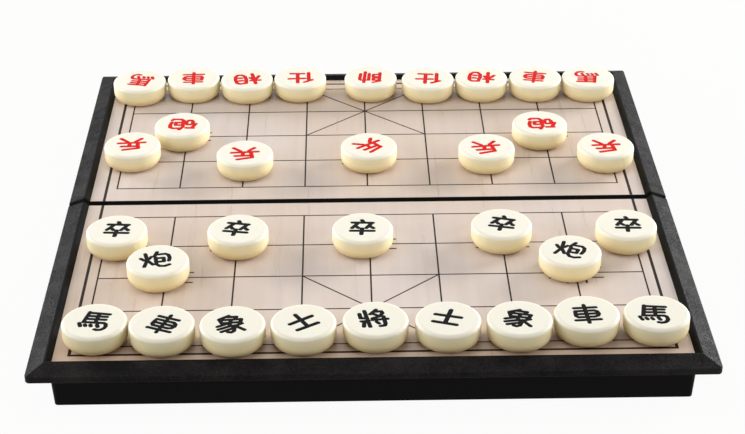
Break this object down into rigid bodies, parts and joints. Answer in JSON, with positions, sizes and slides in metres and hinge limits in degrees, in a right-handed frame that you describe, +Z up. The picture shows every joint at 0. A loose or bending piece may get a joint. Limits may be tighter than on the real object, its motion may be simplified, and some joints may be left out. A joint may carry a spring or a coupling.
{
  "type": "magnetic xiangqi set in a folding box",
  "caption": "Folding magnetic xiangqi board whose two hollow halves shut into a flat box, with round engraved pieces held by magnets.",
  "frame": {"origin": "middle of the open board, on the table", "axes": "+X along the ranks to the black player's right, +Y from the black side to the red side, +Z up"},
  "size_m": [0.3206, 0.32, 0.0355],
  "materials": {
    "case_plastic": "satin",
    "steel_sheet": "satin",
    "board_print": "satin",
    "hinge_steel": "satin",
    "piece_plastic": "satin",
    "red_paint": "satin",
    "black_paint": "satin",
    "magnet": "matte"
  },
  "bodies": {
    "front_half": {"front_case": "case_plastic", "front_steel_sheet": "steel_sheet", "front_board_print": "board_print", "hinge_pin_left": "hinge_steel", "hinge_pin_right": "hinge_steel"},
    "rear_half": {"rear_case": "case_plastic", "rear_steel_sheet": "steel_sheet", "rear_board_print": "board_print"},
    "black_horse_left": {"black_horse_left": "piece_plastic"},
    "black_chariot_left": {"black_chariot_left": "piece_plastic"},
    "black_elephant_left": {"black_elephant_left": "piece_plastic"},
    "black_advisor_left": {"black_advisor_left": "piece_plastic"},
    "black_general": {"black_general": "piece_plastic"},
    "black_advisor_right": {"black_advisor_right": "piece_plastic"},
    "black_elephant_right": {"black_elephant_right": "piece_plastic"},
    "black_chariot_right": {"black_chariot_right": "piece_plastic"},
    "black_horse_right": {"black_horse_right": "piece_plastic"},
    "black_cannon_left": {"black_cannon_left": "piece_plastic"},
    "black_cannon_right": {"black_cannon_right": "piece_plastic"},
    "black_soldier_1": {"black_soldier_1": "piece_plastic"},
    "black_soldier_2": {"black_soldier_2": "piece_plastic"},
    "black_soldier_3": {"black_soldier_3": "piece_plastic"},
    "black_soldier_4": {"black_soldier_4": "piece_plastic"},
    "black_soldier_5": {"black_soldier_5": "piece_plastic"},
    "red_horse_left": {"red_horse_left": "piece_plastic"},
    "red_chariot_left": {"red_chariot_left": "piece_plastic"},
    "red_elephant_left": {"red_elephant_left": "piece_plastic"},
    "red_advisor_left": {"red_advisor_left": "piece_plastic"},
    "red_general": {"red_general": "piece_plastic"},
    "red_advisor_right": {"red_advisor_right": "piece_plastic"},
    "red_elephant_right": {"red_elephant_right": "piece_plastic"},
    "red_chariot_right": {"red_chariot_right": "piece_plastic"},
    "red_horse_right": {"red_horse_right": "piece_plastic"},
    "red_cannon_left": {"red_cannon_left": "piece_plastic"},
    "red_cannon_right": {"red_cannon_right": "piece_plastic"},
    "red_soldier_1": {"red_soldier_1": "piece_plastic"},
    "red_soldier_2": {"red_soldier_2": "piece_plastic"},
    "red_soldier_3": {"red_soldier_3": "piece_plastic"},
    "red_soldier_4": {"red_soldier_4": "piece_plastic"},
    "red_soldier_5": {"red_soldier_5": "piece_plastic"}
  },
  "joints": [
    {"name": "fold", "type": "hinge", "parent": "front_half", "child": "rear_half", "pos_m": [0, 0, 0.0026], "axis": [-1, 0, 0], "range_deg": [0, 180]},
    {"name": "black_horse_left_lift", "type": "slide", "parent": "front_half", "child": "black_horse_left", "axis": [0, 0, 1], "range_m": [0, 0.03]},
    {"name": "black_chariot_left_lift", "type": "slide", "parent": "front_half", "child": "black_chariot_left", "axis": [0, 0, 1], "range_m": [0, 0.03]},
    {"name": "black_elephant_left_lift", "type": "slide", "parent": "front_half", "child": "black_elephant_left", "axis": [0, 0, 1], "range_m": [0, 0.03]},
    {"name": "black_advisor_left_lift", "type": "slide", "parent": "front_half", "child": "black_advisor_left", "axis": [0, 0, 1], "range_m": [0, 0.03]},
    {"name": "black_general_lift", "type": "slide", "parent": "front_half", "child": "black_general", "axis": [0, 0, 1], "range_m": [0, 0.03]},
    {"name": "black_advisor_right_lift", "type": "slide", "parent": "front_half", "child": "black_advisor_right", "axis": [0, 0, 1], "range_m": [0, 0.03]},
    {"name": "black_elephant_right_lift", "type": "slide", "parent": "front_half", "child": "black_elephant_right", "axis": [0, 0, 1], "range_m": [0, 0.03]},
    {"name": "black_chariot_right_lift", "type": "slide", "parent": "front_half", "child": "black_chariot_right", "axis": [0, 0, 1], "range_m": [0, 0.03]},
    {"name": "black_horse_right_lift", "type": "slide", "parent": "front_half", "child": "black_horse_right", "axis": [0, 0, 1], "range_m": [0, 0.03]},
    {"name": "black_cannon_left_lift", "type": "slide", "parent": "front_half", "child": "black_cannon_left", "axis": [0, 0, 1], "range_m": [0, 0.03]},
    {"name": "black_cannon_right_lift", "type": "slide", "parent": "front_half", "child": "black_cannon_right", "axis": [0, 0, 1], "range_m": [0, 0.03]},
    {"name": "black_soldier_1_lift", "type": "slide", "parent": "front_half", "child": "black_soldier_1", "axis": [0, 0, 1], "range_m": [0, 0.03]},
    {"name": "black_soldier_2_lift", "type": "slide", "parent": "front_half", "child": "black_soldier_2", "axis": [0, 0, 1], "range_m": [0, 0.03]},
    {"name": "black_soldier_3_lift", "type": "slide", "parent": "front_half", "child": "black_soldier_3", "axis": [0, 0, 1], "range_m": [0, 0.03]},
    {"name": "black_soldier_4_lift", "type": "slide", "parent": "front_half", "child": "black_soldier_4", "axis": [0, 0, 1], "range_m": [0, 0.03]},
    {"name": "black_soldier_5_lift", "type": "slide", "parent": "front_half", "child": "black_soldier_5", "axis": [0, 0, 1], "range_m": [0, 0.03]},
    {"name": "red_horse_left_lift", "type": "slide", "parent": "rear_half", "child": "red_horse_left", "axis": [0, 0, 1], "range_m": [0, 0.03]},
    {"name": "red_chariot_left_lift", "type": "slide", "parent": "rear_half", "child": "red_chariot_left", "axis": [0, 0, 1], "range_m": [0, 0.03]},
    {"name": "red_elephant_left_lift", "type": "slide", "parent": "rear_half", "child": "red_elephant_left", "axis": [0, 0, 1], "range_m": [0, 0.03]},
    {"name": "red_advisor_left_lift", "type": "slide", "parent": "rear_half", "child": "red_advisor_left", "axis": [0, 0, 1], "range_m": [0, 0.03]},
    {"name": "red_general_lift", "type": "slide", "parent": "rear_half", "child": "red_general", "axis": [0, 0, 1], "range_m": [0, 0.03]},
    {"name": "red_advisor_right_lift", "type": "slide", "parent": "rear_half", "child": "red_advisor_right", "axis": [0, 0, 1], "range_m": [0, 0.03]},
    {"name": "red_elephant_right_lift", "type": "slide", "parent": "rear_half", "child": "red_elephant_right", "axis": [0, 0, 1], "range_m": [0, 0.03]},
    {"name": "red_chariot_right_lift", "type": "slide", "parent": "rear_half", "child": "red_chariot_right", "axis": [0, 0, 1], "range_m": [0, 0.03]},
    {"name": "red_horse_right_lift", "type": "slide", "parent": "rear_half", "child": "red_horse_right", "axis": [0, 0, 1], "range_m": [0, 0.03]},
    {"name": "red_cannon_left_lift", "type": "slide", "parent": "rear_half", "child": "red_cannon_left", "axis": [0, 0, 1], "range_m": [0, 0.03]},
    {"name": "red_cannon_right_lift", "type": "slide", "parent": "rear_half", "child": "red_cannon_right", "axis": [0, 0, 1], "range_m": [0, 0.03]},
    {"name": "red_soldier_1_lift", "type": "slide", "parent": "rear_half", "child": "red_soldier_1", "axis": [0, 0, 1], "range_m": [0, 0.03]},
    {"name": "red_soldier_2_lift", "type": "slide", "parent": "rear_half", "child": "red_soldier_2", "axis": [0, 0, 1], "range_m": [0, 0.03]},
    {"name": "red_soldier_3_lift", "type": "slide", "parent": "rear_half", "child": "red_soldier_3", "axis": [0, 0, 1], "range_m": [0, 0.03]},
    {"name": "red_soldier_4_lift", "type": "slide", "parent": "rear_half", "child": "red_soldier_4", "axis": [0, 0, 1], "range_m": [0, 0.03]},
    {"name": "red_soldier_5_lift", "type": "slide", "parent": "rear_half", "child": "red_soldier_5", "axis": [0, 0, 1], "range_m": [0, 0.03]}
  ]
}
